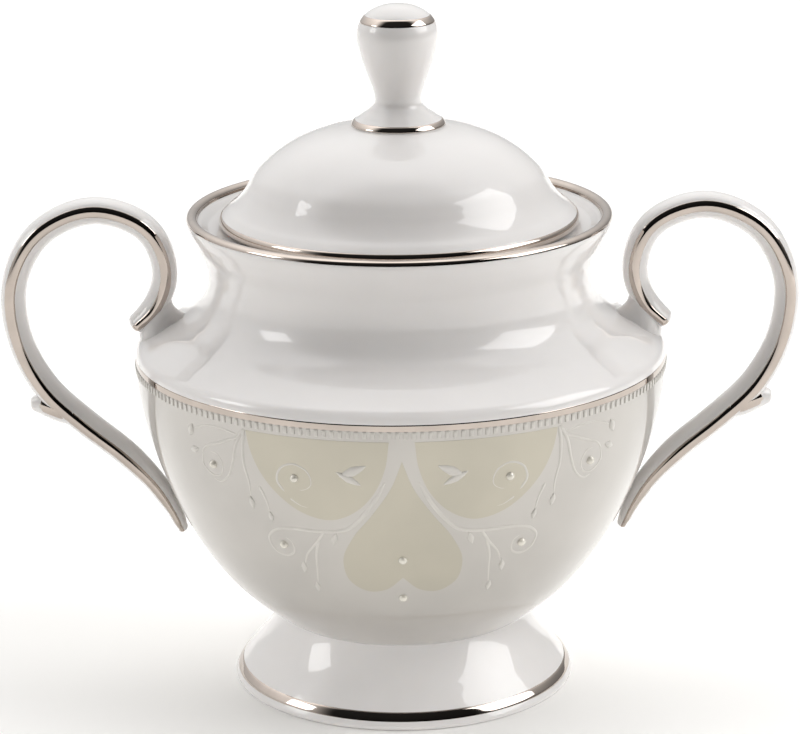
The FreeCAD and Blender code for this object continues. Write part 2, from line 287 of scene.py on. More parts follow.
def mirrored_copy(mesh):
    """Adds the mirror image across the YZ plane, facing outward too."""
    found = bmesh.ops.duplicate(mesh, geom=mesh.verts[:] + mesh.edges[:] + mesh.faces[:])
    verts = [item for item in found["geom"] if isinstance(item, bmesh.types.BMVert)]
    faces = [item for item in found["geom"] if isinstance(item, bmesh.types.BMFace)]
    bmesh.ops.scale(mesh, vec=(-1, 1, 1), verts=verts)
    bmesh.ops.reverse_faces(mesh, faces=faces)


def turned_copy(mesh, degrees):
    """Adds a copy turned round the bowl's axis."""
    found = bmesh.ops.duplicate(mesh, geom=mesh.verts[:] + mesh.edges[:] + mesh.faces[:])
    verts = [item for item in found["geom"] if isinstance(item, bmesh.types.BMVert)]
    turn = Matrix.Rotation(math.radians(degrees), 3, "Z")
    bmesh.ops.rotate(mesh, cent=(0, 0, 0), matrix=turn, verts=verts)


def wrap_on_belly(mesh, lift_share=1.0):
    """Lays a flat mesh on the belly: X is degrees round it, Z is height, -Y is lift, in millimetres."""
    for vert in mesh.verts:
        vert.co = on_belly(vert.co.x, vert.co.z, -vert.co.y * lift_share)


# ---- finishes ----


def add(tree, kind, settings=None, **links):
    """Adds a node, sets its properties and sockets, and links named sockets from others."""
    node = tree.nodes.new(kind)
    for key, value in (settings or {}).items():
        if key in node.inputs:
            node.inputs[key].default_value = value
        else:
            setattr(node, key, value)
    for key, source in links.items():
        tree.links.new(source, node.inputs[key.replace("_", " ")])
    return node


def maths(tree, operation, *values):
    """Output of a maths node fed with sockets or plain numbers."""
    node = add(tree, "ShaderNodeMath", {"operation": operation})
    for socket, value in zip(node.inputs, values):
        if isinstance(value, bpy.types.NodeSocket):
            tree.links.new(value, socket)
        else:
            socket.default_value = value
    return node.outputs["Value"]


def new_finish(name, colour, roughness, **sockets):
    """A material with its Principled shader, and that shader."""
    material = bpy.data.materials.new(name)
    material.use_nodes = True
    shader = material.node_tree.nodes["Principled BSDF"]
    shader.inputs["Base Color"].default_value = (*colour, 1)
    shader.inputs["Roughness"].default_value = roughness
    for key, value in sockets.items():
        shader.inputs[key.replace("_", " ")].default_value = value
    material.diffuse_color = (*colour, 1)
    return material, shader


def mottle(material, shader, colour, other, per_metre, detail=3.0):
    """Slow drift between two near colours over the surface."""
    tree = material.node_tree
    place = add(tree, "ShaderNodeTexCoord")
    noise = add(tree, "ShaderNodeTexNoise", {"Scale": per_metre, "Detail": detail, "Roughness": 0.5},
                Vector=place.outputs["Object"])
    ramp = add(tree, "ShaderNodeValToRGB", Fac=noise.outputs["Fac"])
    ramp.color_ramp.elements[0].position = 0.35
    ramp.color_ramp.elements[1].position = 0.65
    ramp.color_ramp.elements[0].color = (*colour, 1)
    ramp.color_ramp.elements[1].color = (*other, 1)
    tree.links.new(ramp.outputs["Color"], shader.inputs["Base Color"])
    return place


def relief(material, shader, place, per_metre, height, target="Normal", detail=2.0):
    """Fine unevenness of the surface, height in metres."""
    tree = material.node_tree
    noise = add(tree, "ShaderNodeTexNoise", {"Scale": per_metre, "Detail": detail, "Roughness": 0.45},
                Vector=place.outputs["Object"])
    bump = add(tree, "ShaderNodeBump", {"Strength": 1.0, "Distance": height}, Height=noise.outputs["Fac"])
    tree.links.new(bump.outputs["Normal"], shader.inputs[target])


def shade(colour, share):
    """The colour made darker by a share."""
    return tuple(c * share for c in colour)


def bone_china():
    """Glazed bone china, slip-cast: milk-white and faintly translucent under a clear wet-looking glaze."""
    white = tuple(colours().china)
    material, shader = new_finish("bone_china_glazed", white, 0.32, Coat_Weight=1.0, Coat_Roughness=0.02,
                                  Coat_IOR=1.5, IOR=1.45, Specular_IOR_Level=0.3)
    shader.inputs["Subsurface Weight"].default_value = 0.12
    shader.inputs["Subsurface Radius"].default_value = (1.0, 0.85, 0.7)
    shader.inputs["Subsurface Scale"].default_value = 1.2 * MM
    place = mottle(material, shader, white, shade(white, 0.975), 1 / (14 * MM))
    relief(material, shader, place, 1 / (11 * MM), 0.010 * MM, "Coat Normal", 1.0)
    return material


def burnished_platinum():
    """Platinum, painted on and burnished after firing: a warm grey mirror with faint brush drag."""
    grey = tuple(colours().platinum)
    material, shader = new_finish("burnished_platinum", grey, 0.05, Metallic=1.0)
    place = mottle(material, shader, grey, shade(grey, 0.90), 1 / (6 * MM))
    relief(material, shader, place, 1 / (2.5 * MM), 0.004 * MM)
    return material


def pearl_lustre(name, colour, other, metallic):
    """Mica lustre over glaze, fired on: silky, greyer face on and paler towards the edges of the bowl."""
    material, shader = new_finish(name, colour, 0.38, Metallic=metallic, Coat_Weight=1.0,
                                  Coat_Roughness=0.03, Coat_IOR=1.5, Sheen_Weight=0.15, Sheen_Roughness=0.3)
    place = mottle(material, shader, colour, other, 1 / (18 * MM), 2.0)
    relief(material, shader, place, 1 / (1.1 * MM), 0.002 * MM)
    return material


def raised_enamel():
    """White enamel paste, trailed on and fired: opaque, a little softer in gloss than the glaze."""
    white = tuple(colours().enamel)
    material, shader = new_finish("raised_white_enamel", white, 0.28, Coat_Weight=0.5, Coat_Roughness=0.12)
    place = mottle(material, shader, white, shade(white, 0.95), 1 / (3 * MM))
    relief(material, shader, place, 1 / (0.9 * MM), 0.010 * MM)
    return material


def pearl_enamel():
    """Pearl enamel, dropped on as beads: creamy with a pearly gloss."""
    cream = tuple(colours().pearl)
    material, shader = new_finish("pearl_enamel", cream, 0.16, Metallic=0.15, Coat_Weight=1.0,
                                  Coat_Roughness=0.03)
    mottle(material, shader, cream, shade(cream, 0.93), 1 / (1.5 * MM))
    return material


FINISHES = {}


def finish(name):
    """Each finish is made once and shared by the pieces that have it."""
    if name not in FINISHES:
        makers = {
            "bone_china": bone_china,
            "platinum": burnished_platinum,
            "lustre_ground": lambda: pearl_lustre("warm_grey_lustre", tuple(colours().ground),
                                                  shade(colours().ground, 0.93), 0.55),
            "lustre_cream": lambda: pearl_lustre("cream_lustre", tuple(colours().cream),
                                                 shade(colours().cream, 0.93), 0.55),
            "raised_enamel": raised_enamel,
            "pearl_enamel": pearl_enamel,
        }
        FINISHES[name] = makers[name]()
    return FINISHES[name]


# ---- the handles ----

# Centre line of the right handle: across and up in millimetres, then thickness in the plane of
# the handle and width across it.
STRAP = [(57.2, 80.7, 4.3, 6.4), (54.0, 83.6, 5.3, 7.2), (50.85, 91.4, 5.65, 7.6), (53.9, 100.9, 5.8, 7.6),
         (65.6, 105.8, 5.95, 7.6), (77.9, 100.6, 5.9, 7.6), (83.5, 90.0, 5.6, 7.6), (82.9, 78.0, 5.5, 7.6),
         (77.5, 66.5, 5.9, 7.6), (68.8, 58.0, 5.7, 7.6), (60.4, 51.0, 5.5, 7.6), (53.3, 43.0, 4.6, 6.9),
         (49.4, 35.6, 3.0, 5.2), (48.6, 33.6, 2.3, 4.0)]
RIDGE = 0.08            # the ridge on each side of the strap, as a share of the thickness outward
# Half of the strap's section, from the middle of its outer face round to the middle of its inner face:
# share of the thickness outward, share of the width sideways.
STRAP_SECTION = [(0.50, 0.0), (0.485, 0.16), (0.43, 0.31), (0.31, 0.425), (0.20, 0.475), (RIDGE, 0.50),
                 (-0.06, 0.475), (-0.22, 0.41), (-0.37, 0.30), (-0.47, 0.15), (-0.50, 0.0)]
STRAP_THICKNESS = 5.7   # usual sizes along the strap and the spur, in millimetres
STRAP_WIDTH = 7.6
SPUR_WIDTH = 6.0
STRAP_HEAD_ROUND = 1.5  # length of the rounded end inside the curl
END_ROUND = 0.9         # and of the other rounded ends


def strap_stations(per_span=5):
    """Places along the strap: centre, direction out of the C, thickness and width, in millimetres."""
    line = smooth([(x, z) for x, z, _, _ in STRAP], per_span)
    stations = []
    for i, point in enumerate(line):
        along = (line[min(i + 1, len(line) - 1)] - line[max(i - 1, 0)]).normalized()
        k = min(i // per_span, len(STRAP) - 2)
        share = i / per_span - k
        ease = share * share * (3 - 2 * share)
        thick = STRAP[k][2] + (STRAP[k + 1][2] - STRAP[k][2]) * ease
        wide = STRAP[k][3] + (STRAP[k + 1][3] - STRAP[k][3]) * ease
        stations.append((point, Vector((-along.z, 0.0, along.x)), thick, wide))
    return stations


def station_matrix(station, grow=1.0):
    """Takes the unit section, outward along X and sideways along Y, to a place on the handle."""
    point, out, thick, wide = station
    side = Vector((0.0, 1.0, 0.0))
    along = out.cross(side)
    turn = Matrix((out, side, along)).transposed().to_4x4()
    size = Matrix.Diagonal((thick * grow * MM, wide * grow * MM, 1.0, 1.0))
    return Matrix.Translation(point * MM) @ turn @ size


def swept(mesh, section, stations):
    """Sweeps a closed unit section through the stations by extruding it from one to the next."""
    ring = [mesh.verts.new((out, side, 0.0)) for out, side in section]
    edges = [mesh.edges.new(pair) for pair in zip(ring, ring[1:] + ring[:1])]
    mesh.faces.new(ring)
    placed = station_matrix(*stations[0])
    bmesh.ops.transform(mesh, matrix=placed, verts=ring)
    for station in stations[1:]:
        found = bmesh.ops.extrude_edge_only(mesh, edges=edges)["geom"]
        ring = [item for item in found if isinstance(item, bmesh.types.BMVert)]
        edges = [item for item in found if isinstance(item, bmesh.types.BMEdge)]
        nearest = station_matrix(*station)
        bmesh.ops.transform(mesh, matrix=nearest @ placed.inverted(), verts=ring)
        placed = nearest
    bmesh.ops.contextual_create(mesh, geom=edges)


def moved(station, distance):
    """The station moved along the strap."""
    point, out, thick, wide = station
    return (point + Vector((0.0, 1.0, 0.0)).cross(out) * distance, out, thick, wide)


def rounded_run(stations, first_round, last_round):
    """Stations with a rounded end added before the first and after the last."""
    head = [(moved(stations[0], -first_round * math.sin(t)), math.cos(t)) for t in (1.35, 1.0, 0.65, 0.3)]
    tail = [(moved(stations[-1], last_round * math.sin(t)), math.cos(t)) for t in (0.3, 0.65, 1.0, 1.35)]
    return head + [(station, 1.0) for station in stations] + tail


def full_section():
    """The strap's whole section, mirrored from its half."""
    half = STRAP_SECTION
    return half + [(out, -side) for out, side in half[-2:0:-1]]


def block_stations(rows):
    """Stations from rows of: across, up, direction out, length that way, width."""
    return [(Vector((x, 0.0, z)), Vector((dx, 0.0, dz)).normalized(), thick, wide)
            for x, z, dx, dz, thick, wide in rows]


# The root spreads from under the curl onto the shoulder, and the spur springs from the outer strand.
# Each row: across, up, direction out (two parts), length that way and width.
ROOT = [(51.5, 86.6, 1.0, 0.05, 4.2, 6.4), (52.3, 84.4, 1.0, -0.10, 5.6, 6.7),
        (52.6, 81.6, 0.95, -0.31, 9.8, 7.1), (51.6, 79.4, 0.838, -0.545, 12.2, 8.4),
        (50.2, 77.4, 0.838, -0.545, 13.2, 9.6), (48.8, 75.2, 0.838, -0.545, 14.0, 10.4)]
SPUR = [(71.5, 60.3, 0.10, 0.98, 5.8, 7.6), (75.0, 61.3, 0.10, 0.98, 6.5, 7.1),
        (77.6, 62.1, 0.10, 0.98, 5.7, 5.7), (79.4, 62.5, 0.10, 0.98, 4.5, 4.2),
        (80.3, 62.5, 0.10, 0.98, 3.4, 3.2)]


def handle_mesh():
    """China of the right handle: the strap, its root on the shoulder and its spur."""
    mesh = bmesh.new()
    swept(mesh, full_section(), rounded_run(strap_stations(), STRAP_HEAD_ROUND, END_ROUND))
    swept(mesh, full_section(), [(station, 1.0) for station in block_stations(ROOT)])
    swept(mesh, full_section(), rounded_run(block_stations(SPUR), 0.1, END_ROUND))
    bmesh.ops.recalc_face_normals(mesh, faces=mesh.faces)
    return mesh


def handle_line_mesh():
    """Platinum along both side ridges, just off the china, and on the sides of the spur."""
    mesh = bmesh.new()
    half_reach = sizes().line_width / MM / 2 / STRAP_THICKNESS
    off = sizes().platinum / MM
    for side in (1, -1):
        line = []
        for share in (-1.0, -0.75, -0.4, 0.0, 0.4, 0.75, 1.0):
            out = RIDGE + share * half_reach
            line.append((out, side * (ridge_side(out) + off / STRAP_WIDTH * (1 - share ** 6))))
        line += [(out, side * (abs(width) - 0.02)) for out, width in line[::-1]]
        swept(mesh, line, rounded_run(strap_stations(), STRAP_HEAD_ROUND, END_ROUND))
        tongue = [(out, side * (ridge_side(out) + off / SPUR_WIDTH))
                  for out in (-0.42, -0.2, 0.0, RIDGE, 0.2, 0.36)]
        tongue += [(out, side * (abs(width) - 0.04)) for out, width in tongue[::-1]]
        swept(mesh, tongue, [(station, 1.0) for station in block_stations(SPUR)[:4]])
    bmesh.ops.recalc_face_normals(mesh, faces=mesh.faces)
    return mesh


def ridge_side(out):
    """Half width of the strap's section at a share of its thickness."""
    for (high, a), (low, b) in zip(STRAP_SECTION, STRAP_SECTION[1:]):
        if low <= out <= high:
            return a + (b - a) * (high - out) / (high - low)
    return 0.0


# ---- the raised ornament, in degrees from the middle of the group and millimetres of height ----

# The middle heart stands on its lobes, and a drop hangs each side of it from the border.
HEART = [(0.0, 66.8), (2.2, 61.0), (6.4, 54.6), (11.4, 48.4), (14.3, 42.6), (13.6, 37.6), (9.6, 34.9),
         (4.2, 35.4), (0.0, 38.6)]
DROP = [(2.6, 71.0), (3.4, 65.4), (5.6, 60.0), (9.6, 55.4), (15.6, 52.7), (22.4, 53.9), (27.2, 57.2),
        (30.6, 61.4), (32.9, 67.0), (33.6, 71.0)]
# Trailed lines: half width at the start and at the end, then the points.
VINES = [
    (0.50, 0.22, [(34.2, 71.0), (35.6, 69.2), (38.4, 68.0), (41.6, 66.6), (45.6, 64.9), (47.2, 63.2)]),
    (0.50, 0.22, [(34.4, 71.0), (36.4, 67.6), (38.0, 63.2), (40.2, 59.4), (43.0, 57.6), (45.2, 58.0)]),
    (0.55, 0.22, [(34.0, 71.0), (34.7, 67.4), (35.0, 62.8), (34.5, 58.6), (34.9, 55.4)]),
    (0.45, 0.20, [(31.9, 58.6), (30.8, 55.4), (30.5, 52.4)]),
    (0.30, 0.20, [(36.0, 69.6), (40.5, 70.2), (45.2, 69.8), (49.0, 68.2)]),
    (0.30, 0.20, [(46.6, 63.6), (47.4, 60.8), (45.2, 58.8), (42.2, 59.4), (41.2, 61.8), (42.4, 64.0),
                  (44.6, 64.2)]),
    (0.55, 0.25, [(3.6, 62.0), (6.2, 57.2), (9.0, 53.6), (12.4, 50.6), (16.6, 49.7), (20.4, 49.5),
                  (26.0, 49.4), (30.4, 48.4), (32.8, 46.0), (32.2, 43.4), (29.4, 42.2), (26.8, 43.4),
                  (26.6, 45.8), (28.4, 47.2)]),
    (0.42, 0.20, [(18.0, 49.4), (20.4, 46.4), (23.2, 43.4), (24.6, 40.6)]),
    (0.42, 0.20, [(19.6, 47.2), (20.9, 43.6), (21.6, 39.6), (22.6, 35.4)]),
    (0.38, 0.20, [(25.6, 58.2), (27.1, 60.9), (25.9, 63.8), (22.6, 65.0), (19.8, 63.4), (19.4, 60.6),
                  (21.6, 59.2), (24.2, 60.0)]),
    (0.30, 0.18, [(24.8, 57.0), (22.0, 55.4), (19.0, 55.2)]),
]
# Small leaves: where the stalk joins, the tip, and half the breadth.
LEAVES = [((7.2, 65.8), (13.2, 63.0), 1.1), ((13.8, 64.2), (8.4, 61.2), 0.9),
          ((50.4, 66.4), (49.0, 69.4), 1.0), ((25.4, 38.2), (24.8, 41.4), 0.8),
          ((23.0, 33.4), (22.8, 36.2), 0.8), ((34.8, 52.8), (34.9, 55.8), 0.8),
          ((30.4, 50.4), (30.6, 53.0), 0.7), ((16.2, 46.4), (15.0, 49.6), 0.8),
          ((51.0, 63.0), (48.0, 64.0), 0.8)]
PEARLS = [(23.0, 61.8), (29.0, 45.0), (44.0, 61.3)]
MIDDLE_PEARLS = [(0.0, 43.2), (0.0, 33.0)]


def trailed(lines):
    """Mesh of round trailed lines in the flat plane: each line has a half width at each end and points."""
    curve = bpy.data.curves.new("trail", "CURVE")
    curve.dimensions = "3D"
    curve.bevel_depth = 1.0
    curve.bevel_resolution = 2
    curve.use_fill_caps = True
    for start, end, points in lines:
        line = smooth(points, 7)
        spline = curve.splines.new("POLY")
        spline.points.add(len(line) - 1)
        for i, point in enumerate(line):
            share = i / (len(line) - 1)
            spline.points[i].co = (*point, 1)
            narrowing = min(1, 0.35 + 6 * (1 - share), 0.5 + 9 * share)
            spline.points[i].radius = (start + (end - start) * share) * narrowing
    holder = bpy.data.objects.new("trail", curve)
    mesh = bmesh.new()
    made = bpy.data.meshes.new_from_object(holder)
    mesh.from_mesh(made)
    bmesh.ops.remove_doubles(mesh, verts=mesh.verts, dist=1e-4)
    bpy.data.objects.remove(holder)
    bpy.data.curves.remove(curve)
    bpy.data.meshes.remove(made)
    return mesh


def leaf(mesh, stalk, tip, breadth):
    """A pointed leaf from a flattened ball, stretched from its stalk to its tip."""
    found = bmesh.ops.create_uvsphere(mesh, u_segments=10, v_segments=8, radius=1.0)["verts"]
    run = Vector((tip[0] - stalk[0], 0.0, tip[1] - stalk[1]))
    for vert in found:
        vert.co.x *= (1 - abs(vert.co.z)) ** 0.4 if abs(vert.co.z) < 1 else 0
    turn = Vector((0, 0, 1)).rotation_difference(run.normalized()).to_matrix().to_4x4()
    middle = Vector(((tip[0] + stalk[0]) / 2, 0.0, (tip[1] + stalk[1]) / 2))
    size = Matrix.Diagonal((breadth, 0.9, run.length / 2, 1.0))
    bmesh.ops.transform(mesh, matrix=Matrix.Translation(middle) @ turn @ size, verts=found)


def lustre_patch(outline, mirrored, thickness):
    """A thin patch of lustre from a flat outline, cut into small faces so that it follows the belly."""
    cut_step = 1.5
    back = 0.03
    mesh = bmesh.new()
    line = smooth(outline, 6)
    if mirrored:
        line += [Vector((-point.x, 0.0, point.z)) for point in line[-2:0:-1]]
    ring = [mesh.verts.new(point) for point in line]
    mesh.faces.new(ring)
    lows = [min(p.x for p in line), min(p.z for p in line)]
    highs = [max(p.x for p in line), max(p.z for p in line)]
    for axis, normal in ((0, (1, 0, 0)), (1, (0, 0, 1))):
        cut = lows[axis] + cut_step
        while cut < highs[axis]:
            place = (cut, 0, 0) if axis == 0 else (0, 0, cut)
            bmesh.ops.bisect_plane(mesh, geom=mesh.verts[:] + mesh.edges[:] + mesh.faces[:], dist=1e-4,
                                   plane_co=place, plane_no=normal)
            cut += cut_step
    bmesh.ops.recalc_face_normals(mesh, faces=mesh.faces)
    front = bmesh.ops.extrude_face_region(mesh, geom=mesh.faces[:])["geom"]
    raised = [item for item in front if isinstance(item, bmesh.types.BMVert)]
    bmesh.ops.translate(mesh, vec=(0, -thickness - back, 0), verts=raised)
    bmesh.ops.translate(mesh, vec=(0, back, 0), verts=mesh.verts[:])
    bmesh.ops.recalc_face_normals(mesh, faces=mesh.faces)
    return mesh


# ---- one operator for each piece or group of like pieces ----


class SUGARBOWL_OT_bowl(bpy.types.Operator):
    """Cast china bowl: belly, shoulder, neck, lip and the seat for the lid"""
    bl_idname = "sugarbowl.bowl"
    bl_label = "Bowl"

    def execute(self, context):
        slope = pushed_out(SHOULDER, [-WALL] * len(SHOULDER))[SHOULDER_SPAN:5 * SHOULDER_SPAN:SHOULDER_SPAN]
        side = pushed_out(BELLY, [-WALL] * len(BELLY))[2 * BELLY_SPAN:8 * BELLY_SPAN:BELLY_SPAN]
        turns = [(point.x, point.z) for point in slope[::-1] + side[::-1]]
        inside = smooth([(41.5 - WALL, 91.3), *turns, (23.4, 18.7), (0.0, 17.6)], 7, (0, -1), (-1, 0))
        seat = smooth([(43.5, RIM_TOP - 1.2), (42.6, 103.5), (41.1, RIM_TOP - 2.7)], 5, (0, -1), (-1, -0.6))
        outline = (corner(0, 14.8) + corner(24.4, 15.0) + BELLY + SHOULDER_ROUND + SHOULDER + LIP + seat
                   + arc((37.2, 102.0), 0.6, 90, 180, 4) + arc((37.2, 100.4), 0.6, 180, 210, 2) + inside)
        piece_from("china_bowl", turned(outline, closed=False), finish("bone_china"), "bowl",
                   ["bowl_body"])
        return {"FINISHED"}


class SUGARBOWL_OT_foot(bpy.types.Operator):
    """Spreading china foot, luted under the bowl"""
    bl_idname = "sugarbowl.foot"
    bl_label = "Pedestal foot"

    def execute(self, context):
        inside = smooth([(34.3, 0.3), (31.4, 5.2), (28.5, 8.5), (25.9, 11.9), (24.4, 15.0)], 7)
        outline = (arc((36.9, 0.55), 0.55, -90, 0, 5)[:-1] + FOOT + corner(24.4, 15.0)
                   + inside[::-1] + corner(34.7, 0.0))
        piece_from("china_foot", turned(outline), finish("bone_china"), "bowl",
                   ["pedestal_foot"])
        return {"FINISHED"}


class SUGARBOWL_OT_lid(bpy.types.Operator):
    """Domed china lid with its flange and locating skirt"""
    bl_idname = "sugarbowl.lid"
    bl_label = "Lid"

    def execute(self, context):
        dome = [point for point in DOME if point.z > 108]
        wall = pushed_out(dome, [-LID_WALL] * len(dome))[:-1]
        inside = (corner(0, LID_TOP - LID_WALL) + wall[::-1]
                  + smooth([(wall[0].x, wall[0].z), (33.2, 104.4), (33.5, 102.7)], 6, None, (0, -1))[1:])
        skirt = (arc((34.1, 95.85), 0.6, 180, 270, 4) + arc((35.3, 95.85), 0.6, 270, 360, 4)
                 + corner(35.9, 102.0) + corner(36.2, 102.75))
        outline = inside + skirt + LID_EDGE + DOME + corner(0, LID_TOP)
        piece_from("china_lid", turned(outline, closed=False), finish("bone_china"), "lid",
                   ["lid_dome"])
        return {"FINISHED"}


class SUGARBOWL_OT_knob(bpy.types.Operator):
    """Baluster knob on top of the lid"""
    bl_idname = "sugarbowl.knob"
    bl_label = "Knob"

    def execute(self, context):
        outline = corner(0, LID_TOP) + KNOB
        piece_from("china_knob", turned(outline, closed=False), finish("bone_china"), "lid",
                   ["lid_finial"])
        return {"FINISHED"}


class SUGARBOWL_OT_handles(bpy.types.Operator):
    """Pair of scroll handles with their curled roots and thumb spurs"""
    bl_idname = "sugarbowl.handles"
    bl_label = "Handles"

    def execute(self, context):
        for name, flip in (("right", False), ("left", True)):
            for kind, make, slot, metal_or_china in (
                    ("handle", handle_mesh, "bone_china", "china"),
                    ("handle_line", handle_line_mesh, "platinum", "platinum")):
                mesh = make()
                if flip:
                    bmesh.ops.scale(mesh, vec=(-1, 1, 1), verts=mesh.verts)
                    bmesh.ops.reverse_faces(mesh, faces=mesh.faces)
                node = f"{kind}_{name}"
                piece = piece_from(f"{metal_or_china}_{node}", mesh, finish(slot), "bowl", [node], 0)
                rounding = piece.modifiers.new("rounding", "SUBSURF")
                rounding.levels = rounding.render_levels = 1
        return {"FINISHED"}


class SUGARBOWL_OT_bands(bpy.types.Operator):
    """Burnished platinum bands of the bowl, the foot, the lid and the knob"""
    bl_idname = "sugarbowl.bands"
    bl_label = "Platinum bands"

    def execute(self, context):
        off = sizes().platinum / MM
        rim = LIP[1:] + corner(43.35, RIM_TOP - 1.7)
        bands = [
            ("shoulder_band", between_heights(BELLY, BAND_LOW, BAND_TOP), "bowl"),
            ("foot_band", between_heights(FOOT, *FOOT_BAND), "bowl"),
            ("rim_band", rim, "bowl"),
            ("lid_edge_band", between_heights(LID_EDGE, 102.95, 105.02), "lid"),
            ("finial_collar_band", between_heights(KNOB, COLLAR_BAND[0] + 0.05, COLLAR_BAND[1]), "lid"),
            ("finial_crown_band", between_heights(KNOB, *CROWN_BAND), "lid"),
        ]
        for node, line, body in bands:
            piece_from(f"platinum_{node}", turned(layer(line, off)), finish("platinum"), body,
                       [node])
        return {"FINISHED"}


class SUGARBOWL_OT_lustre(bpy.types.Operator):
    """Lustre ground of the belly, with the cream heart and drops laid on it"""
    bl_idname = "sugarbowl.lustre"
    bl_label = "Lustre"

    def execute(self, context):
        off = sizes().lustre / MM
        line = between_heights(BELLY, FOOT_TOP + 0.3, BAND_LOW + 0.1, 70)
        ground = (pushed_out(line, [off] * len(line))
                  + pushed_out(line, [-LAYER_BACK] * len(line))[::-1])
        piece_from("lustre_ground_belly", turned(ground), finish("lustre_ground"), "bowl")
        mesh = lustre_patch(HEART, True, 2 * off)
        wrap_on_belly(mesh)
        turned_copy(mesh, 180)
        piece_from("cream_hearts", mesh, finish("lustre_cream"), "bowl")
        mesh = lustre_patch(DROP, False, 2 * off)
        wrap_on_belly(mesh)
        mirrored_copy(mesh)
        turned_copy(mesh, 180)
        piece_from("cream_drops", mesh, finish("lustre_cream"), "bowl")
        return {"FINISHED"}


class SUGARBOWL_OT_dentils(bpy.types.Operator):
    """Border of small raised blocks under the shoulder band"""
    bl_idname = "sugarbowl.dentils"
    bl_label = "Dentil border"

    def execute(self, context):
        mesh = bmesh.new()
        count = sizes().dentils
        height = BAND_LOW - DENTIL_LOW
        width, depth, lift = 0.86, 0.36, 0.08   # degrees round the belly, then millimetres
        for index in range(count):
            degrees = 360 * (index + 0.5) / count
            block = bmesh.ops.create_cube(mesh, size=1.0)["verts"]
            place = Matrix.Translation((degrees, -lift, DENTIL_LOW + height / 2))
            size = Matrix.Diagonal((width, depth, height, 1.0))
            bmesh.ops.transform(mesh, matrix=place @ size, verts=block)
            edges = list({edge for vert in block for edge in vert.link_edges})
            bmesh.ops.bevel(mesh, geom=edges, offset=0.14, offset_type="OFFSET", affect="EDGES",
                            segments=2, profile=0.5, material=-1, clamp_overlap=True)
        wrap_on_belly(mesh)
        bmesh.ops.recalc_face_normals(mesh, faces=mesh.faces)
        piece_from("enamel_dentils", mesh, finish("raised_enamel"), "bowl",
                   ["dentil_border"])
        return {"FINISHED"}


class SUGARBOWL_OT_vines(bpy.types.Operator):
    """Trailed enamel vines with their leaves, on the front and on the back"""
    bl_idname = "sugarbowl.vines"
    bl_label = "Enamel vines"

    def execute(self, context):
        mesh = trailed(VINES)
        for stalk, tip, breadth in LEAVES:
            leaf(mesh, stalk, tip, breadth)
        mirrored_copy(mesh)
        widest = max(line[0] for line in VINES)
        wrap_on_belly(mesh, sizes().enamel_height / MM / widest)
        turned_copy(mesh, 180)
        bmesh.ops.recalc_face_normals(mesh, faces=mesh.faces)
        piece_from("enamel_vines", mesh, finish("raised_enamel"), "bowl")
        return {"FINISHED"}


class SUGARBOWL_OT_pearls(bpy.types.Operator):
    """Raised pearls at the middles of the scrolls"""
    bl_idname = "sugarbowl.pearls"
    bl_label = "Pearls"

    def execute(self, context):
        mesh = bmesh.new()
        places = MIDDLE_PEARLS + PEARLS + [(-degrees, height) for degrees, height in PEARLS]
        for degrees, height in places:
            middle = on_belly(degrees, height, 0.0)
            bmesh.ops.create_icosphere(mesh, subdivisions=3, radius=sizes().pearl,
                                       matrix=Matrix.Translation(middle))
        turned_copy(mesh, 180)
        piece_from("enamel_pearls", mesh, finish("pearl_enamel"), "bowl",
                   ["pearl_beads"], 0)
        return {"FINISHED"}


def soft_box(name, azimuth, elevation, distance, width, height, power, target=(0, 0, 0.06)):
    """A rectangular studio light: azimuth from the front towards the right, in degrees."""
    data = bpy.data.lights.new(name, "AREA")
    data.shape = "RECTANGLE"
    data.size, data.size_y = width, height
    data.energy = power
    light = bpy.data.objects.new(name, data)
    turn, tilt = math.radians(azimuth), math.radians(elevation)
    away = Vector((math.sin(turn) * math.cos(tilt), -math.cos(turn) * math.cos(tilt), math.sin(tilt)))
    light.location = Vector(target) + away * distance
    light.rotation_euler = away.to_track_quat("Z", "Y").to_euler()
    bpy.context.scene.collection.objects.link(light)
    return light


def low_spot():
    """A soft spot from under the camera onto the foot, which the bowl shades from the room."""
    lamp = bpy.data.lights.new("low_spot", "SPOT")
    lamp.energy = 6.3
    lamp.spot_size = math.radians(13)
    lamp.spot_blend = 0.9
    lamp.shadow_soft_size = 0.06
    spot = bpy.data.objects.new("low_spot", lamp)
    spot.location = (0.0, -0.55, 0.10)
    spot.rotation_euler = (spot.location - Vector((0, 0, 0.004))).to_track_quat("Z", "Y").to_euler()
    spot.visible_glossy = False
    bpy.context.scene.collection.objects.link(spot)


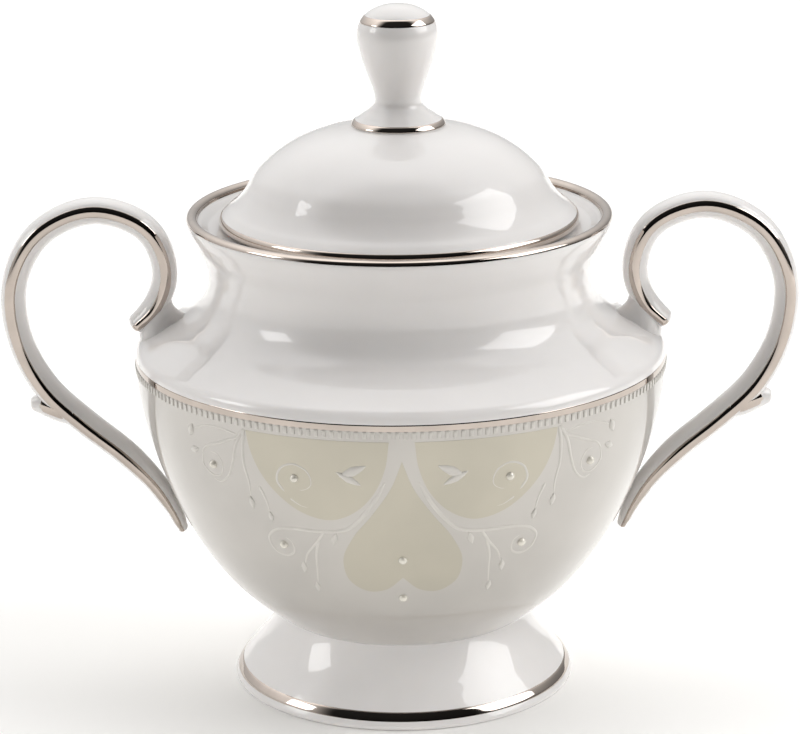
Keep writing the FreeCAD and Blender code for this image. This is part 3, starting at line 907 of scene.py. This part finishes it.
def pale_room():
    """A world that grows brighter upwards and to the left, with a dark card above and behind the camera."""
    world = bpy.data.worlds.new("pale_room")
    world.use_nodes = True
    tree = world.node_tree
    way = add(tree, "ShaderNodeTexCoord").outputs["Generated"]
    height = add(tree, "ShaderNodeSeparateXYZ", Vector=way).outputs["Z"]
    overhead = maths(tree, "POWER", maths(tree, "MAXIMUM", height, 0.0), 1.5)
    lean = add(tree, "ShaderNodeVectorMath", {"operation": "DOT_PRODUCT"}, Vector=way)
    lean.inputs[1].default_value = (-0.32, 0.15, 0.0)
    walls = maths(tree, "ADD", lean.outputs["Value"], 0.37)
    tilt = math.radians(33)
    toward_card = add(tree, "ShaderNodeVectorMath", {"operation": "DOT_PRODUCT"}, Vector=way)
    toward_card.inputs[1].default_value = (0.0, -math.cos(tilt), math.sin(tilt))
    card = add(tree, "ShaderNodeMapRange",
               {"interpolation_type": "SMOOTHSTEP", "From Min": 0.36, "From Max": 0.72,
                "To Min": 1.0, "To Max": 0.015}, Value=toward_card.outputs["Value"])
    room = maths(tree, "MULTIPLY_ADD", overhead, 1.75, walls)
    level = maths(tree, "MULTIPLY", room, card.outputs["Result"])
    tree.links.new(level, tree.nodes["Background"].inputs["Strength"])
    tree.nodes["Background"].inputs["Color"].default_value = (1.0, 0.995, 0.99, 1)
    return world


class SUGARBOWL_OT_stage(bpy.types.Operator):
    """Pale floor, soft boxes, a pale room that darkens towards the camera, and the camera"""
    bl_idname = "sugarbowl.stage"
    bl_label = "Studio stage"

    def execute(self, context):
        scene = context.scene
        mesh = bmesh.new()
        bmesh.ops.create_grid(mesh, x_segments=1, y_segments=1, size=12.0)
        data = bpy.data.meshes.new("floor")
        mesh.to_mesh(data)
        mesh.free()
        floor = bpy.data.objects.new("floor", data)
        scene.collection.objects.link(floor)
        data.materials.append(new_finish("white_card", linear("#FFFEFC"), 0.9)[0])

        soft_box("soft_box_right", 82, 36, 1.6, 1.1, 1.0, 13.2)
        soft_box("soft_box_left", -80, 27, 1.6, 0.5, 0.45, 3.2)
        backdrop = soft_box("backdrop_light", 180, 37, 1.5, 1.6, 0.8, 9, (0, 0.7, 0))
        backdrop.visible_glossy = False
        low_spot()
        scene.world = pale_room()

        camera_data = bpy.data.cameras.new("camera")
        camera_data.lens = 144.0
        camera_data.sensor_width = 36.0
        camera_data.clip_start = 0.01
        camera = bpy.data.objects.new("camera", camera_data)
        camera.location = (0.0, -0.6706, 0.2661)    # about 16 degrees above level
        toward = Vector((-0.0002, 0.0, 0.0700)) - camera.location
        roll = Matrix.Rotation(math.radians(-0.6), 3, "Z")
        camera.rotation_euler = (toward.to_track_quat("-Z", "Y").to_matrix() @ roll).to_euler()
        scene.collection.objects.link(camera)
        scene.camera = camera
        scene.view_settings.view_transform = "Standard"
        return {"FINISHED"}


class SUGARBOWL_PT_panel(bpy.types.Panel):
    """Lists the pieces, the sizes and the colours of the sugar bowl"""
    bl_idname = "SUGARBOWL_PT_panel"
    bl_label = "Sugar Bowl"
    bl_space_type = "VIEW_3D"
    bl_region_type = "UI"
    bl_category = "Sugar Bowl"

    def draw(self, context):
        for group in (context.scene.bowl_sizes, context.scene.bowl_colours):
            for key in group.bl_rna.properties.keys():
                if key not in ("rna_type", "name"):
                    self.layout.prop(group, key)
        for operator in OPERATORS:
            self.layout.operator(operator.bl_idname)


OPERATORS = (
    SUGARBOWL_OT_stage,
    SUGARBOWL_OT_bowl,
    SUGARBOWL_OT_foot,
    SUGARBOWL_OT_lid,
    SUGARBOWL_OT_knob,
    SUGARBOWL_OT_handles,
    SUGARBOWL_OT_bands,
    SUGARBOWL_OT_lustre,
    SUGARBOWL_OT_dentils,
    SUGARBOWL_OT_vines,
    SUGARBOWL_OT_pearls,
)
CLASSES = (BowlSizes, BowlColours, *OPERATORS, SUGARBOWL_PT_panel)


def register():
    for item in CLASSES:
        bpy.utils.register_class(item)
    bpy.types.Scene.bowl_sizes = bpy.props.PointerProperty(type=BowlSizes)
    bpy.types.Scene.bowl_colours = bpy.props.PointerProperty(type=BowlColours)


def unregister():
    del bpy.types.Scene.bowl_colours
    del bpy.types.Scene.bowl_sizes
    for item in reversed(CLASSES):
        bpy.utils.unregister_class(item)


def main():
    register()
    for operator in OPERATORS:
        group, name = operator.bl_idname.split(".")
        getattr(getattr(bpy.ops, group), name)()


if __name__ == "__main__":
    main()
